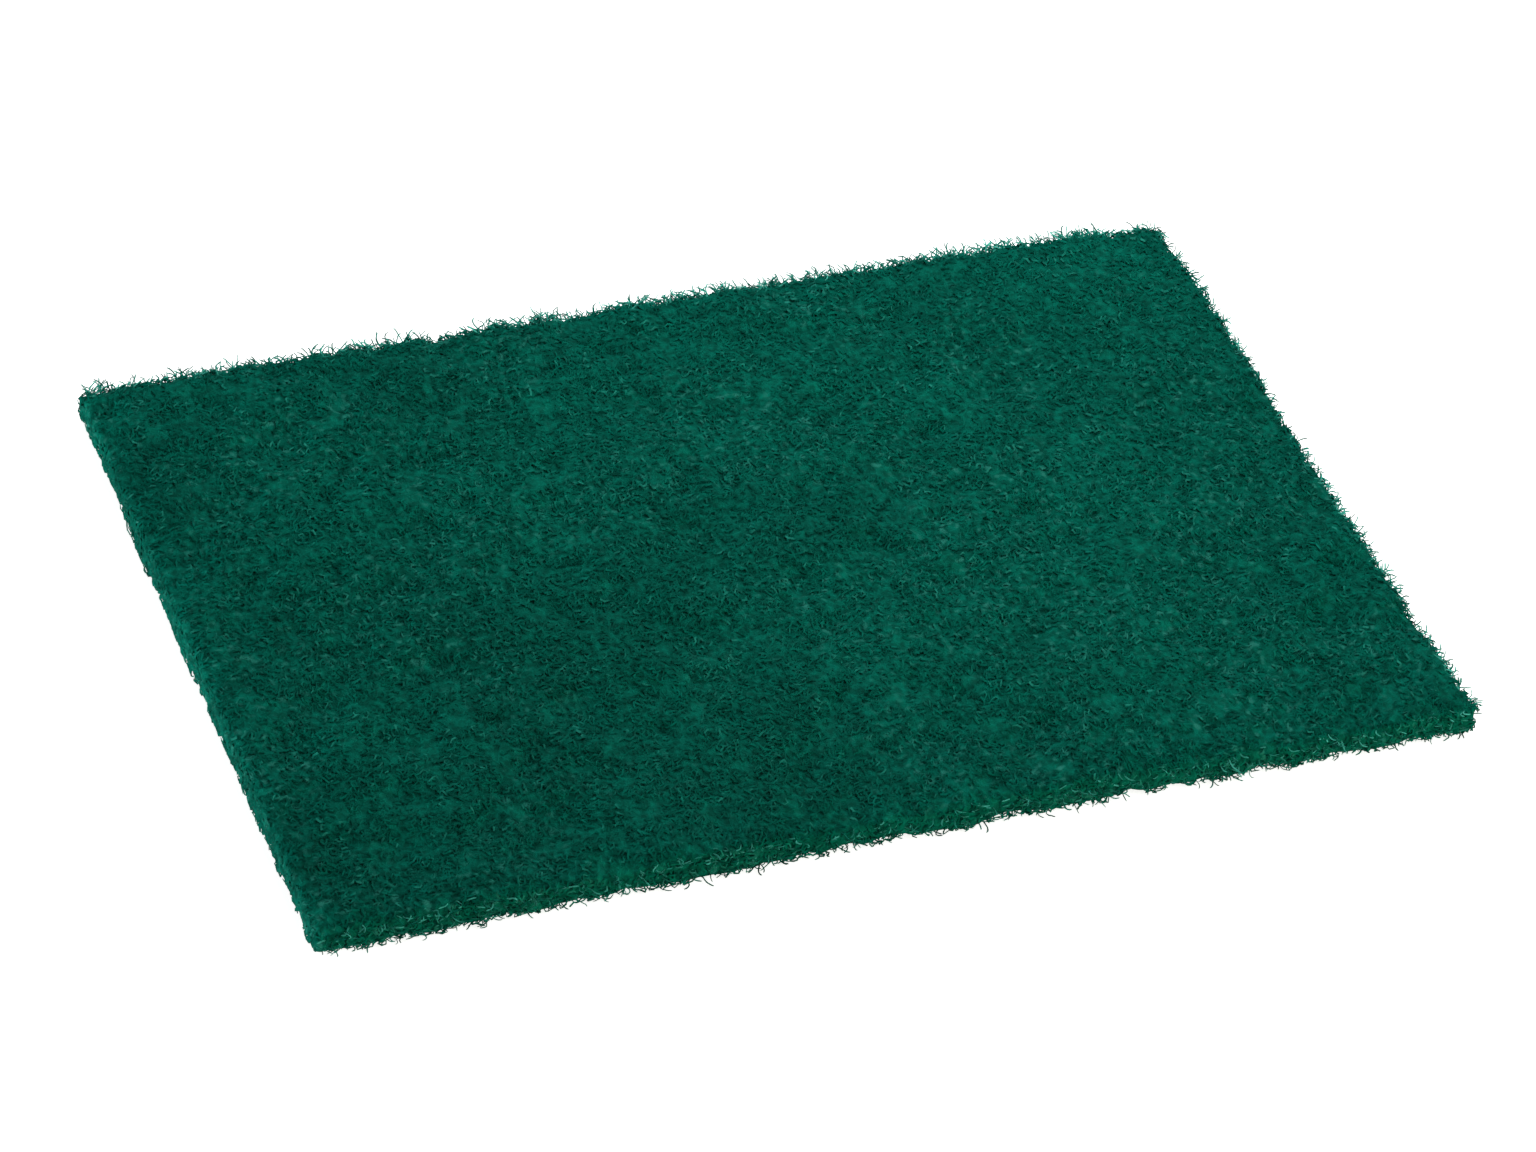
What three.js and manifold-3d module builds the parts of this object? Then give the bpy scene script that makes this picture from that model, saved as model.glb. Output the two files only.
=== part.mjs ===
// A nylon scouring pad: a flat rectangular piece, cut from a roll of thick non-woven web.
// Crimped nylon fibres lie at random through the whole thickness and are glued where they cross.
// So both faces are a matted relief of fibre bundles with open pores between them,
// and the four cut sides are rough, with fibre ends that stand out of them.
// The web is one piece right through, so the pad is one solid.
//
// Units are millimetres and +Z is up. The pad lies flat, with its length along X.
// The origin is under its middle, on the surface that it lies on.

import * as THREE from "three";
import { mergeVertices } from "three/addons/utils/BufferGeometryUtils.js";
import Module from "manifold-3d";

// The cut pad
const padLength = 230; // along X, between the cut sides
const padWidth = 150; // along Y, between the cut sides
const padThickness = 8; // from the surface that it lies on to its highest bundles
const sideBow = 1; // how far the web's slight curve in its plane bends the long sides
const arrisEase = 0.35; // how far the knife's pressure draws in the edges of both faces
const cornerEase = 0.4; // how much further it draws in the four corners

// The relief of the two faces
const bundleSpacing = 3.9; // from one crossing of bundles to the next
const bundleLength = 46; // a fibre's length, which a bundle keeps
const bundleCover = 1; // bundles laid at a crossing, on average
const crimpLength = 19; // one wave of a crimped bundle
const crimpSwing = 1.3; // how far a crimp turns a bundle, in eighths of a turn
const crossingDrift = 0.27; // how far a crossing lies from its even place, as a share of the spacing
const poreDepth = 2.2; // from the highest bundles of a face to the floor of its deepest pores
const loneBundleDrop = 0.35; // how much lower than a crossing a bundle lies by itself
const loftSwell = 0.35; // how much the thickness varies over the pad
const swellLength = 95; // one wave of that variation

// The cut sides
const sideLayers = 3; // layers of fibre that show in a cut side
const sideRoughness = 0.45; // how far a layer's fibres stand in or out of the cut
const endSpacing = 6.4; // from one loose fibre end to the next along a side
const endRadius = 0.42; // of the loose ends, at their root
const endRoot = 1.6; // how deep a loose end is held in the web
const endClearance = 5; // between the loose ends of a side and its corners
const endLean = 0.9; // how far a loose end leans from straight out, in radians
// How far the longest loose ends stand out: the side that was the roll's slit edge is the cleanest.
const endReach = { left: 0.9, right: 2.8, front: 2, back: 2.8 };

const webColour = 0x0b5d4a;

// A repeatable number from 0 to 1 for a pair of whole numbers. Each use has a stream of its own.
const streams = [
  "heading",
  "crimp",
  "driftX",
  "driftY",
  "driftZ",
  "pore",
  "rough",
  "endPlace",
  "endHeight",
  "endLength",
  "endTurn",
  "endTilt",
];
function chance(stream, a, b = 0) {
  let h =
    Math.imul(a + 1, 374761393) ^
    Math.imul(b + 1, 668265263) ^
    Math.imul(streams.indexOf(stream) + 1, 974634777);
  h = Math.imul(h ^ (h >>> 13), 1274126177);
  h = Math.imul(h ^ (h >>> 15), 2246822519);
  return ((h ^ (h >>> 16)) >>> 0) / 2 ** 32;
}

// The same, from -reach to reach.
function stray(reach, stream, a, b) {
  return reach * (2 * chance(stream, a, b) - 1);
}

// The lattice of crossings that carries both faces and the sides
const cellsLong = Math.round(padLength / bundleSpacing);
const cellsWide = Math.round(padWidth / bundleSpacing);
const crossingsLong = cellsLong + 1;
const crossingsWide = cellsWide + 1;
const bundleSteps = Math.round(bundleLength / bundleSpacing);

// The eight ways from a crossing to its neighbours, in turn
const ways = [
  [1, 0],
  [1, 1],
  [0, 1],
  [-1, 1],
  [-1, 0],
  [-1, -1],
  [0, -1],
  [1, -1],
];

// Where along an axis the bundle of this number starts: even over the whole, in no order.
const evenSteps = [0.7548776662466927, 0.5698402909980532];
function startAt(bundle, axis, cells) {
  const share = (bundle * evenSteps[axis]) % 1;
  // Some bundles start off the pad, so that the borders are as well covered as the middle.
  return Math.floor(share * (cells + bundleSteps) - bundleSteps / 2);
}

// Lays the crimped bundles of one face, and counts how many of them pass each crossing.
function layBundles(face) {
  const passes = new Uint8Array(crossingsLong * crossingsWide);
  const room = (cellsLong + bundleSteps) * (cellsWide + bundleSteps);
  const bundles = Math.round((room * bundleCover) / bundleSteps);
  for (let bundle = 0; bundle < bundles; bundle++) {
    let i = startAt(bundle, face, cellsLong);
    let j = startAt(bundle, 1 - face, cellsWide);
    const heading = ways.length * chance("heading", bundle, face);
    const phase = 2 * Math.PI * chance("crimp", bundle, face);
    for (let step = 0; step < bundleSteps; step++) {
      if (i >= 0 && i <= cellsLong && j >= 0 && j <= cellsWide)
        passes[j * crossingsLong + i] += 1;
      const wave = (2 * Math.PI * step * bundleSpacing) / crimpLength;
      const turned = Math.round(heading + crimpSwing * Math.sin(wave + phase));
      const [di, dj] = ways[(turned + ways.length) % ways.length];
      i += di;
      j += dj;
    }
  }
  return passes;
}

const lowerFace = 0;
const upperFace = 1;
const passes = [layBundles(lowerFace), layBundles(upperFace)];

// How far below the face's highest bundles a crossing lies.
function dropAt(face, i, j) {
  const count = passes[face][j * crossingsLong + i];
  if (count === 0) return poreDepth * (0.5 + 0.5 * chance("pore", i, 2 * j + face));
  return count === 1 ? loneBundleDrop : 0;
}

// The web's slow change of thickness, from 0 to -loftSwell.
function swellAt(x, y) {
  const turn = (2 * Math.PI) / swellLength;
  return 0.25 * loftSwell * (Math.sin(turn * (x + 0.4 * y)) + Math.cos(turn * (y - 0.6 * x)) - 2);
}

// Where the lattice point i, j, k of the web lies.
function placeAt(i, j, k) {
  const along = padLength / cellsLong;
  const across = padWidth / cellsWide;
  let x = i * along - padLength / 2;
  let y = j * across - padWidth / 2;
  let share = k / sideLayers;
  // Which way is out of the pad here, along each axis, or 0 where the point can drift
  const outX = Math.sign(2 * i - cellsLong) * (i % cellsLong === 0);
  const outY = Math.sign(2 * j - cellsWide) * (j % cellsWide === 0);
  const onFace = k % sideLayers === 0;
  const key = k * crossingsWide + j;
  if (!outX) x += stray(crossingDrift * along, "driftX", i, key);
  if (!outY) y += stray(crossingDrift * across, "driftY", i, key);
  if (!onFace) share += stray(crossingDrift / sideLayers, "driftZ", i, key);
  if (outX || outY) {
    // A point of a cut side is drawn in where it meets a face or another side.
    const corner = outX && outY ? cornerEase : 0;
    const out = stray(sideRoughness, "rough", i, key) - (onFace ? arrisEase : 0) - corner;
    x += outX * out;
    y += outY * out;
  }
  // The pad's own weight presses the crossings of its lower face level.
  const lower = dropAt(lowerFace, i, j);
  const upper = padThickness + swellAt(x, y) - dropAt(upperFace, i, j);
  return new THREE.Vector3(x, y, lower + share * (upper - lower));
}

// Bends a point of the pad to the slight curve that the web has in its plane.
function bow(place) {
  const share = (2 * place.x) / padLength;
  place.y += sideBow * (0.5 - share * share);
  return place;
}

// Turns the diagonal of each four-sided cell so that it follows the bundle and not the pore.
function followBundles(geometry) {
  const { position, normal } = geometry.attributes;
  const index = geometry.index.array;
  const point = new THREE.Vector3();
  const out = new THREE.Vector3();
  const height = (v) =>
    point.fromBufferAttribute(position, v).dot(out.fromBufferAttribute(normal, v));
  for (let cell = 0; cell < index.length; cell += 6) {
    const [a, b, d, , c] = index.slice(cell, cell + 5);
    if (height(a) + height(c) > height(b) + height(d))
      index.set([a, b, c, a, c, d], cell);
  }
}

// The matted web: a box whose lattice points are moved to where the fibres lie.
function webGeometry() {
  const geometry = new THREE.BoxGeometry(
    padLength,
    padWidth,
    padThickness,
    cellsLong,
    cellsWide,
    sideLayers,
  );
  const { position } = geometry.attributes;
  for (let v = 0; v < position.count; v++) {
    const i = Math.round((position.getX(v) / padLength + 0.5) * cellsLong);
    const j = Math.round((position.getY(v) / padWidth + 0.5) * cellsWide);
    const k = Math.round((position.getZ(v) / padThickness + 0.5) * sideLayers);
    const { x, y, z } = bow(placeAt(i, j, k));
    position.setXYZ(v, x, y, z);
  }
  followBundles(geometry);
  return geometry;
}

// The four sides: which way each lies from the middle, and which way it runs
const sides = {
  front: { out: [0, -1], along: [1, 0] },
  right: { out: [1, 0], along: [0, 1] },
  back: { out: [0, 1], along: [-1, 0] },
  left: { out: [-1, 0], along: [0, -1] },
};

// One loose fibre end, rooted in the web and leaning at random out of a side.
function looseEnd(side, number, count) {
  const { out, along } = sides[side];
  const key = Object.keys(sides).indexOf(side);
  const run = (along[0] ? padLength : padWidth) - 2 * endClearance;
  const station = run * ((number + chance("endPlace", number, key)) / count - 0.5);
  // It comes out of the middle half of the web that lies between the pores of both faces.
  const core = padThickness - loftSwell - 2 * poreDepth;
  const root = new THREE.Vector3(
    (out[0] * padLength) / 2 + along[0] * station,
    (out[1] * padWidth) / 2 + along[1] * station,
    poreDepth + core * (0.25 + 0.5 * chance("endHeight", number, key)),
  );
  const turn = stray(endLean, "endTurn", number, key);
  const direction = new THREE.Vector3(
    out[0] * Math.cos(turn) + along[0] * Math.sin(turn),
    out[1] * Math.cos(turn) + along[1] * Math.sin(turn),
    stray(Math.sin(endLean / 2), "endTilt", number, key),
  ).normalize();
  const length = endRoot + endReach[side] * (0.5 + 0.5 * chance("endLength", number, key));
  const up = new THREE.Vector3(0, 1, 0);
  const { x, y, z } = bow(root);
  return new THREE.ConeGeometry(endRadius, length, 3)
    .translate(0, length / 2 - endRoot, 0)
    .applyQuaternion(new THREE.Quaternion().setFromUnitVectors(up, direction))
    .translate(x, y, z);
}

// All the loose ends of one side
function looseEnds(side) {
  const run = sides[side].along[0] ? padLength : padWidth;
  const count = Math.round(run / endSpacing);
  return Array.from({ length: count }, (_, number) => looseEnd(side, number, count));
}

const wasm = await Module();
wasm.setup();

function solidOf(geometry) {
  const bare = geometry.clone();
  bare.deleteAttribute("normal");
  bare.deleteAttribute("uv");
  const merged = mergeVertices(bare);
  return new wasm.Manifold(
    new wasm.Mesh({
      numProp: 3,
      vertProperties: new Float32Array(merged.attributes.position.array),
      triVerts: new Uint32Array(merged.index.array),
    }),
  );
}

function geometryOf(solid) {
  const { numProp, vertProperties, triVerts } = solid.getMesh();
  const geometry = new THREE.BufferGeometry();
  const buffer = new THREE.InterleavedBuffer(vertProperties, numProp);
  geometry.setAttribute("position", new THREE.InterleavedBufferAttribute(buffer, 3, 0));
  geometry.setIndex(new THREE.BufferAttribute(triVerts, 1));
  return geometry.toNonIndexed();
}

// The web with its loose ends, joined into the one solid that the pad is.
function padGeometry() {
  const ends = Object.keys(sides).flatMap(looseEnds);
  const solid = [webGeometry(), ...ends].map(solidOf).reduce((a, b) => a.add(b));
  const geometry = geometryOf(solid);
  geometry.computeVertexNormals();
  return geometry;
}

const pad = new THREE.Mesh(
  padGeometry(),
  new THREE.MeshStandardMaterial({
    color: webColour,
    roughness: 0.85,
    metalness: 0,
    flatShading: true,
  }),
);
pad.name = "scouring_pad";

const part = new THREE.Group();
part.add(pad);

export default part;
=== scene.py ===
"""A nylon scouring pad, lying on a pale floor and seen from above its front left corner.

The pad is a web of crimped fibres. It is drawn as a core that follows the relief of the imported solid,
with crimped strands that wander over it at several depths, and loose ends and loops that stand out of
the cut sides. Sizes are in metres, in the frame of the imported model.
"""

import math

import bpy
import numpy as np
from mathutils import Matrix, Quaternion, Vector
from mathutils.bvhtree import BVHTree
from mathutils.noise import noise


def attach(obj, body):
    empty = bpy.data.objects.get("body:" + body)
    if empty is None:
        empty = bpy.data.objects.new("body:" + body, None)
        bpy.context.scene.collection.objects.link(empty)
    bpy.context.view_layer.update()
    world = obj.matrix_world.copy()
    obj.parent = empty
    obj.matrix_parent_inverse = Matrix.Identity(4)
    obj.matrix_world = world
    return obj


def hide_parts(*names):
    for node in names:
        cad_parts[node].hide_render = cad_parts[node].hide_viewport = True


MM = 0.001
TAU = 2 * math.pi
UP = np.array((0.0, 0.0, 1.0))
LEAST_LENGTH = 1e-12

PAD_NODE = "scouring_pad"
BODY = "root"

# The camera: where it looks, from which side and how far, how it is turned, and its lens
VIEW_TARGET = Vector((0.3, -0.5, 0.0)) * MM
VIEW_AZIMUTH = -26.59
VIEW_ELEVATION = 41.46
VIEW_ROLL = 8.38
VIEW_DISTANCE = 1097 * MM
LENS = 132.8
SENSOR_WIDTH = 36.0
NEAREST_SEEN = 0.05
FURTHEST_SEEN = 20.0

# The skin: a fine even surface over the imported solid
SKIN_PITCH = 1.3 * MM
WELD = 0.001 * MM
FACE_SMOOTHING = 12
SIDE_SMOOTHING = 4

# How a cut side of the skin is measured: in stations along it and in levels up it, with a far place where
# no point is. A smooth line is then fitted to it, without the stations at its ends
SIDE_STATION = 2.5 * MM
SIDE_LEVELS = 4
NO_EDGE = -1.0
END_STATIONS = 2
LINE_DEGREE = 4

# How far each side moves out to where the loose outer fibres end, by the way that it faces, how deep the
# web moves along with it, and how far any point may move
SIDE_GROWTH = {(-1, 0): 0.85 * MM, (1, 0): 0.8 * MM, (0, -1): 1.2 * MM, (0, 1): 0.7 * MM}
SIDE_DEPTH = 5 * MM
SIDE_LIMIT = 2.0 * MM

# The core: the skin drawn in to leave room for the strands, with lumps of two sizes and heights
CORE_INSET = 0.25 * MM
CORE_RELIEF = ((2.2 * MM, 0.25 * MM), (1.3 * MM, 0.12 * MM))

# The core's map: the rows of its two faces and of its four sides, and how much of a row each fills
FACE_ROW = 0.43
FACE_SHARE = 0.42
STRIP_ROW = 0.034
STRIP_SHARE = 0.03

# How a strand is crimped in the surface, and how it rises and sinks through it. A range says how much
# shorter and longer than its usual size a thing may be
CRIMP_LENGTH = 4.4 * MM
CRIMP_RANGE = (0.75, 1.35)
CRIMP_SWING = 1.45
RISE_LENGTH = 3.8 * MM
RISE_RANGE = (0.7, 1.4)
RISE_SWING = 0.34 * MM
LOWEST_POINT = 0.02 * MM

# A strand's tube has three sides with one edge up, and thinner tips. Its normals lean to the skin's own,
# so that no side of a strand turns black
STRAND_SIDES = 3
EDGE_UP = 0.25
TIP_SHARE = 0.55
RADIUS_RANGE = (0.7, 1.3)
STRAND_SOFTNESS = 0.85

# The strip of the map that each tube has: the gaps at its ends and sides, and the slant of the tips
STRIP_END_GAP = 0.08
STRIP_SIDE_GAP = 0.1
STRIP_SLANT = 0.5

# The strands of each region: pieces, strands in each, steps, step length, radius, and their levels
REGIONS = {
    "upper": dict(
        pieces=3, count=2740, steps=11, stride=0.9 * MM, radius=0.2 * MM, low=-0.2 * MM, high=0.25 * MM
    ),
    "lower": dict(
        pieces=1, count=1000, steps=11, stride=1.2 * MM, radius=0.2 * MM, low=-0.2 * MM, high=0.25 * MM
    ),
    "side": dict(
        pieces=1, count=1500, steps=9, stride=0.8 * MM, radius=0.16 * MM, low=-0.3 * MM, high=0.6 * MM
    ),
}
REGION_SEEDS = 100

# How much flatter the strands lie on the clean left side, and how level the skin is where it is a face
CALM_SIDE = 0.7
FACE_SLOPE = 0.6

# Loose ends and loops: how many to a metre of each side, how far the longest stand out, and what share of
# them starts at the upper rim
FRAY = {
    "left": dict(out=(-1, 0), density=300, reach=0.25 * MM, rim=0.0),
    "right": dict(out=(1, 0), density=6400, reach=2.6 * MM, rim=0.5),
    "front": dict(out=(0, -1), density=5400, reach=2.4 * MM, rim=0.0),
    "back": dict(out=(0, 1), density=7900, reach=3.3 * MM, rim=0.85),
}
FRAY_SEED = 7

# Where loose fibres start: how much of a side's length and height has them, where the search for the web
# begins, and how far inside the side's plane the web may lie there
SIDE_SPREAD = 0.985
ROOT_LEVELS = (0.08, 0.93)
ROOT_SEARCH = 10 * MM
SIDE_SKIN = 1.5 * MM

# The fibres of the upper rim: how far in and down they start, how they rise, and their greatest height
RIM_SETBACK = 0.35 * MM
RIM_DEPTH = 0.7 * MM
RIM_RISE = 0.38
RIM_HEIGHT = 1.0 * MM

# A loose fibre: its steps, the length inside the web, its radius, how its length varies, and how it
# spreads, curls and tilts. It never turns back further than its greatest turn
FRAY_STEPS = 7
FRAY_ROOT = 0.6 * MM
FRAY_RADIUS = 0.13 * MM
FRAY_RANGE = (0.5, 1.25)
FRAY_SPREAD = 0.8
FRAY_CURL = 1.2
FRAY_TURN = 1.3
FRAY_TILT = 0.3
TILT_KEPT = 0.9
FRAY_WOBBLE = 0.15

# The tufts that loose fibres gather in: their width, how uneven it is, the shortest as a share of the
# longest, and how much the fibres lean to the middle
TUFT_SPACING = 1.9 * MM
TUFT_WAVE = 0.9
TUFT_SWING = 0.3
TUFT_JITTER = 0.12
TUFT_SHORTEST = 0.6
TUFT_LEAN = 0.6

# The greens: of a strand by its tone, whose highest stops are pale as painted light; of the core by how
# near a fibre is, darker between fibres as painted shade; and of a glint, a painted highlight
STRAND_TONES = (
    (0.0, (0.0003, 0.081, 0.056)),
    (0.5, (0.0004, 0.089, 0.061)),
    (0.62, (0.0012, 0.104, 0.074)),
    (0.7, (0.0110, 0.160, 0.119)),
    (1.0, (0.0600, 0.400, 0.310)),
)
# The core's greens: the darker one is painted shade in the hollows between fibres
CORE_TONES = (
    (0.0, (0.0003, 0.087, 0.059)),
    (1.0, (0.0004, 0.106, 0.073)),
)
# The colour of the painted highlights (glints)
PAINTED_GLINT_COLOUR = (0.018, 0.190, 0.145, 1.0)

# The highest tone of a strand in the web, how much of its tone comes from its height as painted light and
# shade, lighter where it rises and darker where it sinks, and the tones of the loose ends
WEB_TONE = 0.7
HEIGHT_SHADE_SHARE = 0.4
# The loose ends are paler: partly their own lighter colour, partly painted light for the glare round them
LOOSE_TONES = (0.55, 1.0)

# How much detail a noise has
PLAIN = 0.0
SOFT = 1.0
FINE = 2.0

# Blotches, patches and glints: their sizes, the span of the noise that counts, and how dark and light
# they make the green. The glints are painted highlights: pale spots mixed into the colour
BLOTCH = 1.6 * MM
BLOTCH_SPAN = (0.32, 0.68)
BLOTCH_RANGE = (0.65, 1.36)
PATCH = 45 * MM
PATCH_SPAN = (0.3, 0.7)
PATCH_RANGE = (0.9, 1.1)
GLINT = 1.5 * MM
GLINT_SPAN = (0.62, 0.84)
GLINT_PATCH = 30 * MM
GLINT_PATCH_SPAN = (0.42, 0.62)
GLINT_PATCH_RANGE = (0.1, 1.0)

# The strands' surface: fine grit with its roughness, its bump's strength and height, and a faint gloss
GRIT = 0.4 * MM
GRIT_SPAN = (0.3, 0.7)
GRIT_ROUGHNESS = (0.45, 0.65)
GRIT_BUMP = (0.2, 0.05 * MM)
STRAND_SPECULAR = 0.035
STRAND_GLOSS = (0.1, 1.0, 0.8, 1.0)

# The core's surface: cells and waves to a metre, how far the waves bend the cells, the width of the fibre
# between two cells as a share of a cell, and its bump's strength and height
CELL_DENSITY = 780.0
WARP_DENSITY = 420.0
WARP_REACH = 2.2 * MM
FIBRE_WIDTH = 0.22
FIBRE_BUMP = (0.5, 0.25 * MM)
CORE_ROUGHNESS = 0.8
CORE_SPECULAR = 0.03

# The light from all round, and the floor: its colour, how much it is lifted where it is seen, and its reach
WHITE = (1.0, 1.0, 1.0, 1.0)
WORLD_LIGHT = 0.18
FLOOR_SHADE = 0.8
FLOOR_GLOW = 0.82
FLOOR_REACH = 12.0

# The lamps: azimuth and elevation in degrees, distance and width in metres, power in watts, and colour
LAMPS = {
    "key": dict(azimuth=143, elevation=62, distance=0.33, size=0.3, power=0.85, colour=WHITE[:3]),
    "fill": dict(azimuth=25, elevation=50, distance=1.0, size=0.6, power=2.2, colour=WHITE[:3]),
    "left": dict(azimuth=-95, elevation=1, distance=0.8, size=0.3, power=9.5, colour=WHITE[:3]),
    "front": dict(azimuth=20, elevation=6, distance=0.8, size=0.3, power=4.0, colour=(1.0, 1.0, 0.65)),
}


# Arrays of vectors

def unit(vectors):
    """The vectors, each made one long."""
    return vectors / np.maximum(np.linalg.norm(vectors, axis=-1, keepdims=True), LEAST_LENGTH)


def dot(a, b):
    """The dot products of two arrays of vectors, kept as a column."""
    return (a * b).sum(-1, keepdims=True)


# Meshes

def new_piece(name, vertices, triangles, uv, tone):
    """A smooth mesh object made of triangles, with a map and a tone for each vertex."""
    mesh = bpy.data.meshes.new(name)
    mesh.vertices.add(len(vertices))
    mesh.vertices.foreach_set("co", vertices.astype(np.float32).ravel())
    mesh.loops.add(triangles.size)
    mesh.loops.foreach_set("vertex_index", triangles.astype(np.int32).ravel())
    mesh.polygons.add(len(triangles))
    mesh.polygons.foreach_set("loop_start", np.arange(0, triangles.size, 3, dtype=np.int32))
    mesh.update(calc_edges=True)
    mesh.shade_smooth()
    layer = mesh.uv_layers.new(name="OFBake")
    layer.uv.foreach_set("vector", uv.astype(np.float32).ravel())
    mesh.attributes.new("tone", "FLOAT", "POINT").data.foreach_set("value", tone.astype(np.float32))
    made = bpy.data.objects.new(name, mesh)
    bpy.context.scene.collection.objects.link(made)
    return made


def points_of(mesh):
    """The vertices of a mesh, as an array of rows."""
    flat = np.empty(3 * len(mesh.vertices))
    mesh.vertices.foreach_get("co", flat)
    return flat.reshape(-1, 3)


def vertex_normals_of(mesh):
    """The smooth normals of a mesh's vertices, as an array of rows."""
    flat = np.empty(3 * len(mesh.vertices))
    mesh.vertex_normals.foreach_get("vector", flat)
    return flat.reshape(-1, 3)


# The core

def add_smoothing(skin, name, axes, rounds):
    """Smooths a surface along some of its axes only."""
    smooth = skin.modifiers.new(name, "SMOOTH")
    smooth.iterations = rounds
    smooth.use_x = "x" in axes
    smooth.use_y = "y" in axes
    smooth.use_z = "z" in axes


def make_skin(node):
    """A fine, even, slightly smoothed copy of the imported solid, with straight cut sides."""
    skin = bpy.data.objects.new("web_core", node.data.copy())
    bpy.context.scene.collection.objects.link(skin)
    skin.modifiers.new("weld", "WELD").merge_threshold = WELD
    remesh = skin.modifiers.new("remesh", "REMESH")
    remesh.mode = "VOXEL"
    remesh.voxel_size = SKIN_PITCH
    add_smoothing(skin, "faces", "z", FACE_SMOOTHING)
    add_smoothing(skin, "sides", "xy", SIDE_SMOOTHING)
    depsgraph = bpy.context.evaluated_depsgraph_get()
    mesh = bpy.data.meshes.new_from_object(skin.evaluated_get(depsgraph))
    skin.modifiers.clear()
    skin.data = mesh
    mesh.shade_smooth()
    straighten_sides(mesh)
    return skin


def straighten_sides(mesh):
    """Makes the four cut sides of a mesh straight, each moved out by its own growth."""
    places = points_of(mesh)
    for (x, y), growth in SIDE_GROWTH.items():
        straighten_side(places, 0 if x else 1, x + y, growth)
    mesh.vertices.foreach_set("co", places.ravel())
    mesh.update()


def straighten_side(places, axis, sign, growth):
    """Moves one cut side out to a smooth upright line, and what is near it along with it."""
    out = sign * places[:, axis]
    along = places[:, 1 - axis]
    height = places[:, 2] / (places[:, 2].max() / SIDE_LEVELS)
    stations, edge = side_edge(out, along, height)
    inner = slice(END_STATIONS, -END_STATIONS)
    line = np.polynomial.Polynomial.fit(stations[inner], edge.max(0)[inner], LINE_DEGREE)
    here = edge_beside(along, height, stations, edge)
    share = np.clip(1 - (here - out) / SIDE_DEPTH, 0, 1)
    shift = np.clip(line(along) + growth - here, -SIDE_LIMIT, SIDE_LIMIT)
    places[:, axis] += sign * share * shift


def side_edge(out, along, height):
    """The stations along a cut side, and how far out the mesh reaches there at each level."""
    starts = np.arange(along.min(), along.max(), SIDE_STATION)
    slot = np.clip(((along - starts[0]) / SIDE_STATION).astype(int), 0, len(starts) - 1)
    level = np.clip(height.astype(int), 0, SIDE_LEVELS - 1)
    edge = np.full((SIDE_LEVELS, len(starts)), NO_EDGE)
    np.maximum.at(edge, (level, slot), out)
    return starts + SIDE_STATION / 2, edge


def edge_beside(along, height, stations, edge):
    """How far out the cut side is beside each point, read between the stations and the levels."""
    rows = np.array([np.interp(along, stations, row) for row in edge])
    middle = np.clip(height - 0.5, 0, SIDE_LEVELS - 1)
    below = np.minimum(middle.astype(int), SIDE_LEVELS - 2)
    point = np.arange(len(along))
    return rows[below, point] + (middle - below) * (rows[below + 1, point] - rows[below, point])


def corner_rows(mesh):
    """The vertex at each corner of each face, and the normal of that face."""
    vertices = np.empty(len(mesh.loops), dtype=np.int32)
    mesh.loops.foreach_get("vertex_index", vertices)
    sizes = np.empty(len(mesh.polygons), dtype=np.int32)
    mesh.polygons.foreach_get("loop_total", sizes)
    normals = np.empty(3 * len(mesh.polygons))
    mesh.polygons.foreach_get("normal", normals)
    return vertices, np.repeat(normals.reshape(-1, 3), sizes, axis=0)


def on_cut_sides(edge, normals):
    """Which corners are on the left or right cut side, and which on the front or back one."""
    near = edge < SIDE_DEPTH
    slope = abs(normals)
    on_ends = near[:, 0] & (slope[:, 0] > slope[:, 2]) & (slope[:, 0] >= slope[:, 1])
    on_lengths = near[:, 1] & (slope[:, 1] > slope[:, 2]) & ~on_ends
    return on_ends, on_lengths


def map_core(mesh):
    """Lays the upper face, the lower face and the strips of the cut sides flat, in a map named OFBake."""
    vertices, normals = corner_rows(mesh)
    places = points_of(mesh)
    low = places.min(0)
    span = places.max(0) - low
    part = (places[vertices] - low) / span
    edge = np.minimum(part, 1 - part) * span
    u = part[:, 0]
    v = np.where(normals[:, 2] > 0, 0.0, FACE_ROW) + FACE_SHARE * part[:, 1]
    for axis, beside in enumerate(on_cut_sides(edge, normals)):
        strip = 2 * FACE_ROW + STRIP_ROW * (2 * axis + (normals[:, axis] > 0))
        u = np.where(beside, part[:, 1 - axis], u)
        v = np.where(beside, strip + STRIP_SHARE * part[:, 2], v)
    layer = mesh.uv_layers.new(name="OFBake")
    layer.uv.foreach_set("vector", np.stack([u, v], -1).astype(np.float32).ravel())


def sink_core(core):
    """Draws the core in from the skin, and roughens it as a mat of fibres."""
    places = points_of(core.data)
    depth = np.full(len(places), CORE_INSET)
    for size, height in CORE_RELIEF:
        depth += height * np.array([noise(Vector(p / size)) for p in places])
    places -= vertex_normals_of(core.data) * depth[:, None]
    places[:, 2] = np.maximum(places[:, 2], 2 * LOWEST_POINT)
    core.data.vertices.foreach_set("co", places.ravel())
    core.data.update()


# Strands

def drop_on(tree, places):
    """The nearest points of the surface to some places, and the surface's normals there."""
    found = [tree.find_nearest(place)[:2] for place in places.tolist()]
    return np.array([f[0] for f in found]), np.array([f[1] for f in found])


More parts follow.
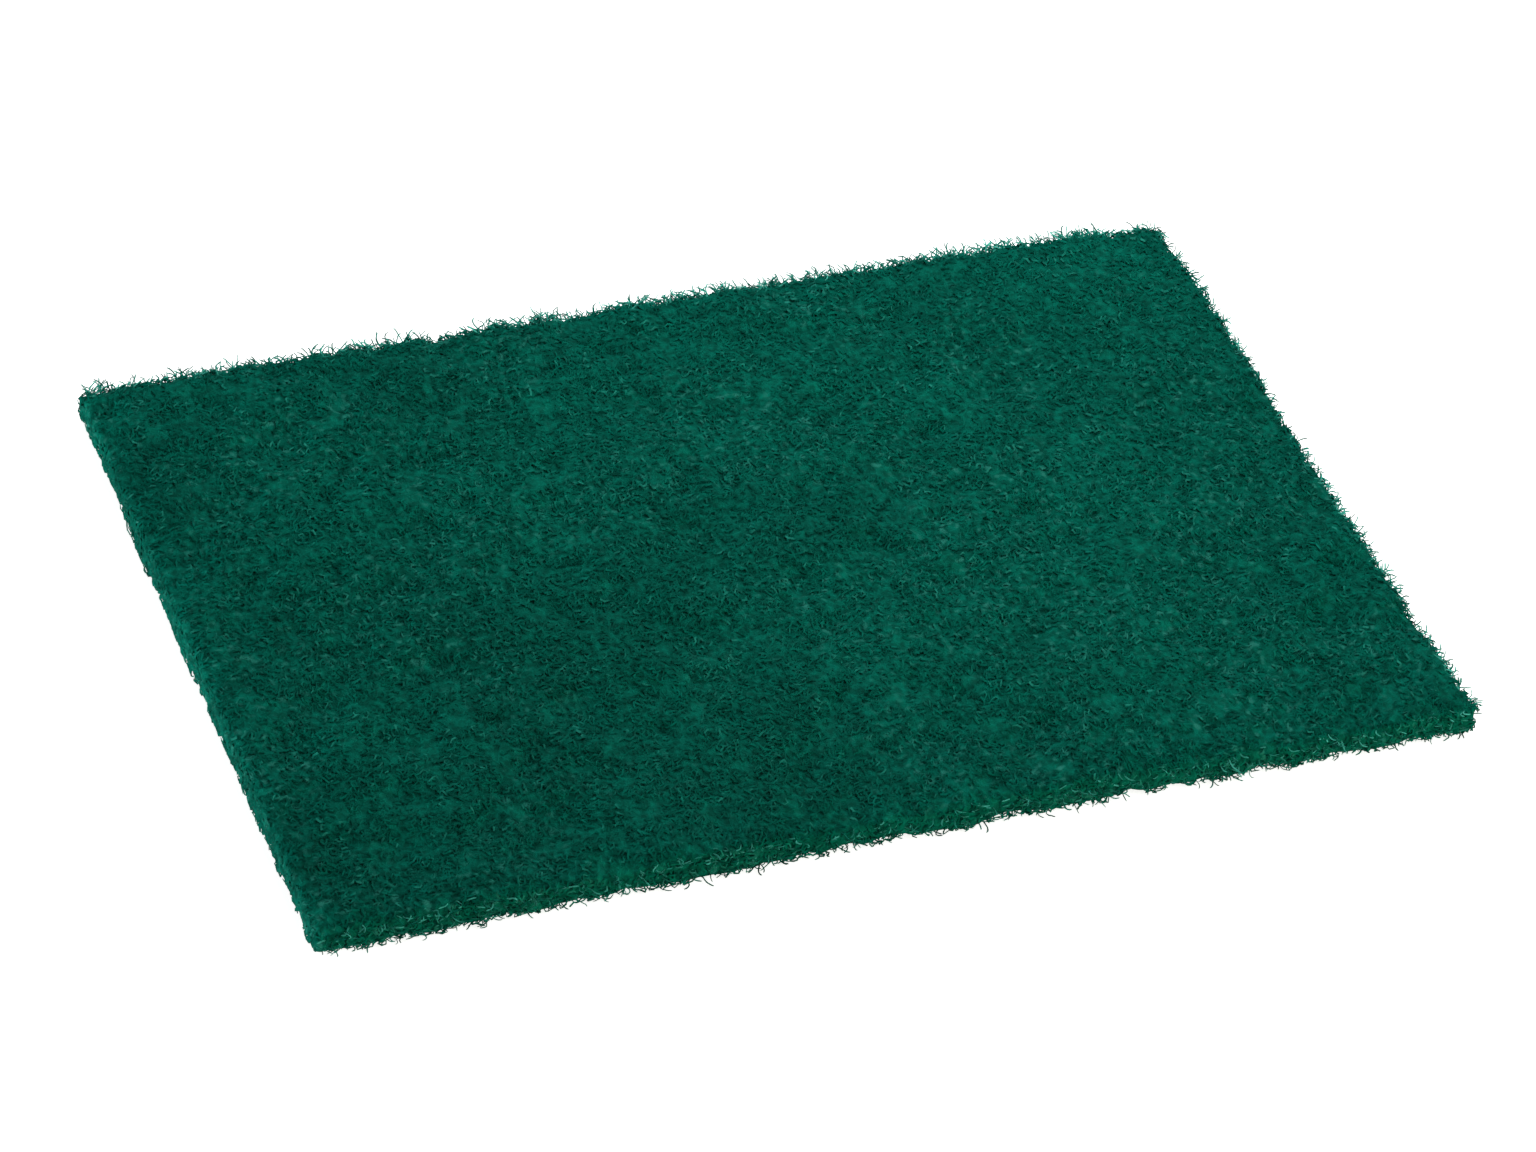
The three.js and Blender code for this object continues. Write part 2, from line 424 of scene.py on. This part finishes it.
def region_points(mesh, region, count, rng):
    """Random points, evenly over the upper face, the lower face or the sides of the skin."""
    centres = np.empty(3 * len(mesh.polygons))
    mesh.polygons.foreach_get("center", centres)
    normals = np.empty(3 * len(mesh.polygons))
    mesh.polygons.foreach_get("normal", normals)
    areas = np.empty(len(mesh.polygons))
    mesh.polygons.foreach_get("area", areas)
    slope = normals.reshape(-1, 3)[:, 2]
    inside = {
        "upper": slope > FACE_SLOPE,
        "lower": slope < -FACE_SLOPE,
        "side": abs(slope) <= FACE_SLOPE,
    }[region]
    weights = areas * inside
    chosen = rng.choice(len(areas), count, p=weights / weights.sum())
    jitter = rng.uniform(-0.5, 0.5, (count, 3)) * SKIN_PITCH
    return centres.reshape(-1, 3)[chosen] + jitter


def walk(tree, starts, steps, stride, rng):
    """Crimped paths that wander over the surface, and the surface's normals along them."""
    count = len(starts)
    places, ups = drop_on(tree, starts)
    along = unit(np.cross(ups, rng.normal(size=(count, 3))))
    wave = CRIMP_LENGTH * rng.uniform(*CRIMP_RANGE, (count, 1))
    phase = rng.uniform(0, TAU, (count, 1))
    path = [places]
    normals = [ups]
    for step in range(steps):
        turn = CRIMP_SWING * (TAU * stride / wave) * np.cos(TAU * step * stride / wave + phase)
        along = along * np.cos(turn) + np.cross(ups, along) * np.sin(turn)
        places, ups = drop_on(tree, places + along * stride)
        along = unit(along - ups * dot(along, ups))
        path.append(places)
        normals.append(ups)
    return np.stack(path, 1), np.stack(normals, 1)


def levels(count, steps, stride, low, high, rng):
    """How high each path runs over the skin at each of its points."""
    middle = rng.uniform(low, high, (count, 1))
    wave = RISE_LENGTH * rng.uniform(*RISE_RANGE, (count, 1))
    phase = rng.uniform(0, TAU, (count, 1))
    run = stride * np.arange(steps + 1)
    return middle + RISE_SWING * np.sin(TAU * run / wave + phase)


def tube_rings(path, ups, radius):
    """Rings of vertices round each path, drawn in at both ends, and soft normals for them."""
    rings = path.shape[1]
    forward = unit(np.gradient(path, axis=1))
    across = unit(np.cross(forward, ups))
    over = np.cross(across, forward)
    angle = TAU * (EDGE_UP + np.arange(STRAND_SIDES) / STRAND_SIDES)
    taper = np.ones((1, rings, 1, 1))
    taper[:, (0, -1)] = TIP_SHARE
    ring = np.cos(angle)[:, None] * across[:, :, None] + np.sin(angle)[:, None] * over[:, :, None]
    normals = unit((1 - STRAND_SOFTNESS) * ring + STRAND_SOFTNESS * ups[:, :, None])
    return path[:, :, None] + taper * radius[:, None, None, None] * ring, normals


def tube_faces(rings):
    """The triangles of one closed tube, as ring and side of each corner."""
    corners = []
    for ring in range(rings - 1):
        for side in range(STRAND_SIDES):
            a = (ring, side)
            b = (ring, side + 1)
            c = (ring + 1, side + 1)
            d = (ring + 1, side)
            corners += [(a, c, b), (a, d, c)]
    corners.append(tuple((0, side) for side in range(STRAND_SIDES)))
    corners.append(tuple((rings - 1, side) for side in reversed(range(STRAND_SIDES))))
    return np.array(corners)


def tube_map(corners, count, rings):
    """A map that gives each tube a small strip of its own, with the ends slanted to have some width."""
    columns = math.ceil(math.sqrt(count * STRAND_SIDES / rings))
    rows = math.ceil(count / columns)
    strand = np.arange(count)
    run = corners[:, :, 0] / (rings - 1)
    run[-2:, 1] += (-STRIP_SLANT / rings, STRIP_SLANT / rings)
    turn = corners[:, :, 1] / STRAND_SIDES
    column = (strand % columns)[:, None, None]
    row = (strand // columns)[:, None, None]
    u = (column + STRIP_END_GAP + (1 - 2 * STRIP_END_GAP) * run) / columns
    v = (row + STRIP_SIDE_GAP + (1 - 2 * STRIP_SIDE_GAP) * turn) / rows
    return np.stack([u, v], -1).reshape(-1, 2)


def make_strands(name, path, ups, radius, tone):
    """One piece made of a closed tube along each path, with a tone at each of its points."""
    count, rings = path.shape[:2]
    path[:, :, 2] = np.maximum(path[:, :, 2], LOWEST_POINT + radius[:, None])
    vertices, normals = tube_rings(path, ups, radius)
    corners = tube_faces(rings)
    local = corners[:, :, 0] * STRAND_SIDES + corners[:, :, 1] % STRAND_SIDES
    triangles = local + np.arange(count)[:, None, None] * rings * STRAND_SIDES
    uv = tube_map(corners, count, rings)
    tones = np.repeat(tone.ravel(), STRAND_SIDES)
    made = new_piece(name, vertices.reshape(-1, 3), triangles.reshape(-1, 3), uv, tones)
    made.data.normals_split_custom_set_from_vertices(normals.reshape(-1, 3))
    return made


def region_strands(name, region, form, skin, tree, rng):
    """One piece of strands that wander over a region of the skin."""
    count = form["count"]
    starts = region_points(skin, region, count, rng)
    path, ups = walk(tree, starts, form["steps"], form["stride"], rng)
    rise = levels(count, form["steps"], form["stride"], form["low"], form["high"], rng)
    rise *= 1 - CALM_SIDE * np.maximum(0, -ups[:, :, 0])
    path += ups * rise[:, :, None]
    # The tone is partly random and partly painted light and shade: lighter where the strand rises, darker
    # where it sinks
    share = np.clip((rise - form["low"]) / (form["high"] - form["low"]), 0, 1)
    chance = rng.uniform(0, 1, (count, 1))
    tone = WEB_TONE * (HEIGHT_SHADE_SHARE * share + (1 - HEIGHT_SHADE_SHARE) * chance)
    radius = form["radius"] * rng.uniform(*RADIUS_RANGE, count)
    return make_strands(name, path, ups, radius, tone)


def face_strands(skin, tree):
    """The strands that wander over both faces and the cut sides."""
    made = []
    for number, (region, form) in enumerate(REGIONS.items()):
        for part in range(form["pieces"]):
            rng = np.random.default_rng(REGION_SEEDS * number + part)
            suffix = f"_{part + 1}" if form["pieces"] > 1 else ""
            made.append(region_strands(f"{region}_strands{suffix}", region, form, skin, tree, rng))
    return made


# The frayed sides

def sink_rim_roots(tree, roots, rim, depth, out, above):
    """Moves the roots of the rim's fibres in from the side, and to just under the upper face there."""
    roots -= np.outer(rim, out) * RIM_SETBACK
    for number in np.flatnonzero(rim):
        top = tree.ray_cast((*roots[number, :2].tolist(), above), (0, 0, -1))[0]
        roots[number, 2] = top.z - depth[number]


def side_roots(tree, low, high, form, out, along, rng):
    """Where loose fibres start on one cut side, how far along it, and which of them are at its rim."""
    half = (high - low) / 2
    middle = (low + high) / 2
    count = round(form["density"] * abs((high - low) @ along))
    run = rng.uniform(-SIDE_SPREAD, SIDE_SPREAD, count) * abs(half @ along)
    places = middle + out * (abs(half @ out) + ROOT_SEARCH) + along * run[:, None]
    rim = rng.random(count) < form["rim"]
    places[:, 2] = rng.uniform(*ROOT_LEVELS, count) * high[2]
    depth = RIM_DEPTH * rng.random(count)
    found = [tree.ray_cast(place, (-out).tolist())[0] for place in places.tolist()]
    least = out @ middle + abs(half @ out) - SIDE_SKIN
    kept = [number for number, hit in enumerate(found) if hit is not None and out @ hit > least]
    roots = np.array([found[number] for number in kept])
    sink_rim_roots(tree, roots, rim[kept], depth[kept], out, 2 * high[2])
    return roots, run[kept], rim[kept]


def tufts(run, rng):
    """How long the tuft at each place along a side is, as a share, and how far on its middle lies."""
    place = run / TUFT_SPACING - run.min() / TUFT_SPACING
    place += TUFT_SWING * np.sin(place * TUFT_WAVE) + rng.normal(0, TUFT_JITTER, len(run))
    number = np.maximum(place, 0).astype(int)
    length = rng.uniform(TUFT_SHORTEST, 1, number.max() + 1)[number]
    return length[:, None], (number + 0.5 - place)[:, None]


def fray_paths(roots, run, rim, out, along, reach, rng):
    """Paths that start inside a cut side, leave it in tufts and curl as they go."""
    count = len(roots)
    share, lean = tufts(run, rng)
    length = FRAY_ROOT + reach * share * rng.uniform(*FRAY_RANGE, (count, 1))
    stride = length / FRAY_STEPS
    heading = TUFT_LEAN * lean + rng.normal(0, FRAY_SPREAD, (count, 1))
    curl = rng.normal(0, FRAY_CURL, (count, 1))
    rise = rng.normal(0, FRAY_TILT, (count, 1)) + RIM_RISE * rim[:, None]
    place = roots - out * FRAY_ROOT
    path = [place]
    for step in range(FRAY_STEPS):
        forward = out * np.cos(heading) + along * np.sin(heading) + UP * np.sin(rise)
        place = place + unit(forward) * stride
        heading = heading + curl * step / FRAY_STEPS + rng.normal(0, FRAY_WOBBLE, (count, 1))
        heading = np.clip(heading, -FRAY_TURN, FRAY_TURN)
        rise = rise * TILT_KEPT + rng.normal(0, FRAY_WOBBLE, (count, 1))
        path.append(place)
    return np.stack(path, 1)


def fray_sides(skin, tree):
    """The loose ends and loops of all four sides."""
    rng = np.random.default_rng(FRAY_SEED)
    places = points_of(skin)
    low = places.min(0)
    high = places.max(0)
    paths = []
    for form in FRAY.values():
        out = np.array([*form["out"], 0.0])
        along = np.array([-out[1], out[0], 0.0])
        roots, run, rim = side_roots(tree, low, high, form, out, along, rng)
        paths.append(fray_paths(roots, run, rim, out, along, form["reach"], rng))
    path = np.concatenate(paths)
    path[:, :, 2] = np.minimum(path[:, :, 2], high[2] + RIM_HEIGHT)
    ups = np.broadcast_to(UP, path.shape)
    # Paler tones for the loose ends: partly their own colour, partly painted light for the glare round them
    tone = np.broadcast_to(rng.uniform(*LOOSE_TONES, (len(path), 1)), path.shape[:2])
    radius = FRAY_RADIUS * rng.uniform(*RADIUS_RANGE, len(path))
    return make_strands("frayed_ends", path, ups, radius, tone)


# Materials

class Shader:
    """The nodes of a material or of the world, with short ways to add and join them."""

    def __init__(self, owner, output="ShaderNodeOutputMaterial"):
        owner.use_nodes = True
        self.owner = owner
        self.tree = owner.node_tree
        self.tree.nodes.clear()
        self.output = self.add(output)

    def add(self, kind, settings=None, **inputs):
        node = self.tree.nodes.new(kind)
        for key, value in (settings or {}).items():
            setattr(node, key, value)
        for key, value in inputs.items():
            self.set(node, key.replace("_", " "), value)
        return node

    def set(self, node, key, value):
        socket = node.inputs[int(key)] if key.isdigit() else node.inputs[key]
        if isinstance(value, bpy.types.NodeSocket):
            self.tree.links.new(value, socket)
        else:
            socket.default_value = value

    def finish(self, surface):
        self.set(self.output, "Surface", surface)
        return self.owner

    def maths(self, operation, a, b):
        node = self.add("ShaderNodeMath", dict(operation=operation), **{"0": a, "1": b})
        return node.outputs[0]

    def ramp(self, factor, stops):
        node = self.add("ShaderNodeValToRGB", Fac=factor)
        elements = node.color_ramp.elements
        while len(elements) < len(stops):
            elements.new(0.5)
        for element, (place, colour) in zip(elements, stops):
            element.position = place
            element.color = (*colour, 1.0)
        return node.outputs["Color"]

    def noise(self, where, size, detail):
        node = self.add("ShaderNodeTexNoise", Vector=where, Scale=1 / size, Detail=detail)
        return node.outputs["Fac"]

    def spread(self, value, span, limits):
        node = self.add("ShaderNodeMapRange", Value=value)
        keys = ("From Min", "From Max", "To Min", "To Max")
        for key, limit in zip(keys, (*span, *limits)):
            self.set(node, key, limit)
        return node.outputs["Result"]

    def mix(self, blend, share, below, above):
        node = self.add("ShaderNodeMix", dict(data_type="RGBA", blend_type=blend))
        for key, value in (("0", share), ("6", below), ("7", above)):
            self.set(node, key, value)
        return node.outputs[2]

    def bump(self, height, strength, distance):
        node = self.add("ShaderNodeBump", Height=height, Strength=strength, Distance=distance)
        return node.outputs["Normal"]


def mottle(shader, where, colour):
    """A colour made lighter and darker in small blotches and broad soft patches, with pale glints as
    painted highlights.
    """
    small = shader.spread(shader.noise(where, BLOTCH, SOFT), BLOTCH_SPAN, BLOTCH_RANGE)
    broad = shader.spread(shader.noise(where, PATCH, SOFT), PATCH_SPAN, PATCH_RANGE)
    mixed = shader.mix("MULTIPLY", 1.0, colour, shader.maths("MULTIPLY", small, broad))
    # Painted highlights: pale glints mixed into the colour in scattered spots
    painted_glints = shader.spread(shader.noise(where, GLINT, PLAIN), GLINT_SPAN, (0.0, 1.0))
    places = shader.spread(shader.noise(where, GLINT_PATCH, PLAIN), GLINT_PATCH_SPAN, GLINT_PATCH_RANGE)
    return shader.mix("MIX", shader.maths("MULTIPLY", painted_glints, places), mixed, PAINTED_GLINT_COLOUR)


def strand_material():
    """Resin-coated nylon: dark teal green, each strand a little different and painted lighter where it
    rises, with fine grit.
    """
    shader = Shader(bpy.data.materials.new("nylon_strand"))
    where = shader.add("ShaderNodeTexCoord").outputs["Object"]
    tone = shader.add("ShaderNodeAttribute", dict(attribute_name="tone")).outputs["Fac"]
    grit = shader.noise(where, GRIT, FINE)
    body = shader.add(
        "ShaderNodeBsdfPrincipled",
        **{
            "Base Color": mottle(shader, where, shader.ramp(tone, STRAND_TONES)),
            "Roughness": shader.spread(grit, GRIT_SPAN, GRIT_ROUGHNESS),
            "Normal": shader.bump(grit, *GRIT_BUMP),
            "Specular IOR Level": STRAND_SPECULAR,
            "Specular Tint": STRAND_GLOSS,
        },
    )
    return shader.finish(body.outputs["BSDF"])


def core_material():
    """The deeper mat of the web: the same green, with a fine tangle of fibres as bump, and painted shade
    between them.
    """
    shader = Shader(bpy.data.materials.new("web_depth"))
    where = shader.add("ShaderNodeTexCoord").outputs["Object"]
    warp = shader.add("ShaderNodeTexNoise", Vector=where, Scale=WARP_DENSITY, Detail=FINE)
    bent = shader.mix("ADD", WARP_REACH, where, warp.outputs["Color"])
    cells = shader.add(
        "ShaderNodeTexVoronoi", dict(feature="DISTANCE_TO_EDGE"), Vector=bent, Scale=CELL_DENSITY
    )
    # Painted shade: the core's colour is darker away from the fibres of its bump
    ridge = shader.spread(cells.outputs["Distance"], (0.0, FIBRE_WIDTH), (1.0, 0.0))
    body = shader.add(
        "ShaderNodeBsdfPrincipled",
        **{
            "Base Color": mottle(shader, where, shader.ramp(ridge, CORE_TONES)),
            "Roughness": CORE_ROUGHNESS,
            "Normal": shader.bump(ridge, *FIBRE_BUMP),
            "Specular IOR Level": CORE_SPECULAR,
        },
    )
    return shader.finish(body.outputs["BSDF"])


def seen_directly(shader):
    """1 for the rays that show a background: those of the camera, of reflections and through glass."""
    path = shader.add("ShaderNodeLightPath").outputs
    first = shader.maths("MAXIMUM", path["Is Camera Ray"], path["Is Glossy Ray"])
    return shader.maths("MAXIMUM", first, path["Is Transmission Ray"])


def floor_material():
    """Nearly white, and lifted to white where it is seen, with the pad's shadow kept."""
    shader = Shader(bpy.data.materials.new("pale_floor"))
    glow = shader.maths("MULTIPLY", seen_directly(shader), FLOOR_GLOW)
    matt = shader.add("ShaderNodeBsdfDiffuse", Color=(FLOOR_SHADE, FLOOR_SHADE, FLOOR_SHADE, 1.0))
    lift = shader.add("ShaderNodeEmission", Color=WHITE, Strength=glow)
    both = shader.add("ShaderNodeAddShader", **{"0": matt.outputs[0], "1": lift.outputs[0]})
    return shader.finish(both.outputs[0])


# The studio

def back_direction(azimuth, elevation):
    """The direction from a target back to a camera that looks at it from these angles."""
    a = math.radians(azimuth)
    e = math.radians(elevation)
    return Vector((math.sin(a) * math.cos(e), -math.cos(a) * math.cos(e), math.sin(e)))


def add_camera():
    """The scene's camera, at the photograph's viewing angle."""
    back = back_direction(VIEW_AZIMUTH, VIEW_ELEVATION)
    data = bpy.data.cameras.new("camera")
    data.lens = LENS
    data.sensor_width = SENSOR_WIDTH
    data.clip_start = NEAREST_SEEN
    data.clip_end = FURTHEST_SEEN
    camera = bpy.data.objects.new("camera", data)
    camera.location = VIEW_TARGET + back * VIEW_DISTANCE
    camera.rotation_mode = "QUATERNION"
    roll = Quaternion((0, 0, 1), math.radians(VIEW_ROLL))
    camera.rotation_quaternion = (-back).to_track_quat("-Z", "Y") @ roll
    bpy.context.scene.collection.objects.link(camera)
    bpy.context.scene.camera = camera


def add_lamp(name, azimuth, elevation, distance, size, power, colour):
    """A square soft lamp that looks at the pad's middle from a direction."""
    back = back_direction(azimuth, elevation)
    data = bpy.data.lights.new(name, "AREA")
    data.shape = "SQUARE"
    data.size = size
    data.energy = power
    data.color = colour
    lamp = bpy.data.objects.new(name, data)
    lamp.location = back * distance
    lamp.rotation_mode = "QUATERNION"
    lamp.rotation_quaternion = (-back).to_track_quat("-Z", "Y")
    bpy.context.scene.collection.objects.link(lamp)


def add_floor():
    """The pale floor that the pad lies on."""
    mesh = bpy.data.meshes.new("floor")
    corners = [(-1, -1), (1, -1), (1, 1), (-1, 1)]
    mesh.from_pydata([(FLOOR_REACH * x, FLOOR_REACH * y, 0) for x, y in corners], [], [(0, 1, 2, 3)])
    mesh.materials.append(floor_material())
    floor = bpy.data.objects.new("floor", mesh)
    bpy.context.scene.collection.objects.link(floor)


def set_world():
    """Even light from all round, and white where the background is seen."""
    world = bpy.data.worlds.new("studio")
    bpy.context.scene.world = world
    shader = Shader(world, "ShaderNodeOutputWorld")
    light = shader.add("ShaderNodeBackground", Color=WHITE, Strength=WORLD_LIGHT)
    white = shader.add("ShaderNodeBackground", Color=WHITE)
    both = shader.add(
        "ShaderNodeMixShader",
        **{"0": seen_directly(shader), "1": light.outputs[0], "2": white.outputs[0]},
    )
    shader.finish(both.outputs[0])


def set_studio():
    """Camera, floor, lamps and plain colours."""
    bpy.context.scene.view_settings.view_transform = "Standard"
    add_camera()
    add_floor()
    set_world()
    for name, lamp in LAMPS.items():
        add_lamp(name, **lamp)


def dress_pad(node):
    """All the pieces of the pad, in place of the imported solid."""
    core = make_skin(node)
    skin = core.data.copy()
    tree = BVHTree.FromPolygons(
        points_of(skin).tolist(), [tuple(face.vertices) for face in skin.polygons]
    )
    strands = face_strands(skin, tree)
    strands.append(fray_sides(skin, tree))
    sink_core(core)
    map_core(core.data)
    core.data.materials.clear()
    core.data.materials.append(core_material())
    material = strand_material()
    for piece in strands:
        piece.data.materials.append(material)
    for piece in (core, *strands):
        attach(piece, BODY)
    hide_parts(PAD_NODE)
    bpy.data.meshes.remove(skin)


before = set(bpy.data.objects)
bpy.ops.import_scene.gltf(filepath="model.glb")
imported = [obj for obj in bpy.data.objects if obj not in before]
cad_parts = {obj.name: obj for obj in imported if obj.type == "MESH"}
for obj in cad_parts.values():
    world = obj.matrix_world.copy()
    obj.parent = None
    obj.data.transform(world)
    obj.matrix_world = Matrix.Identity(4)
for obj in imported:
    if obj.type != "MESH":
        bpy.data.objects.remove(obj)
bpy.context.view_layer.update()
dress_pad(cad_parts[PAD_NODE])
set_studio()
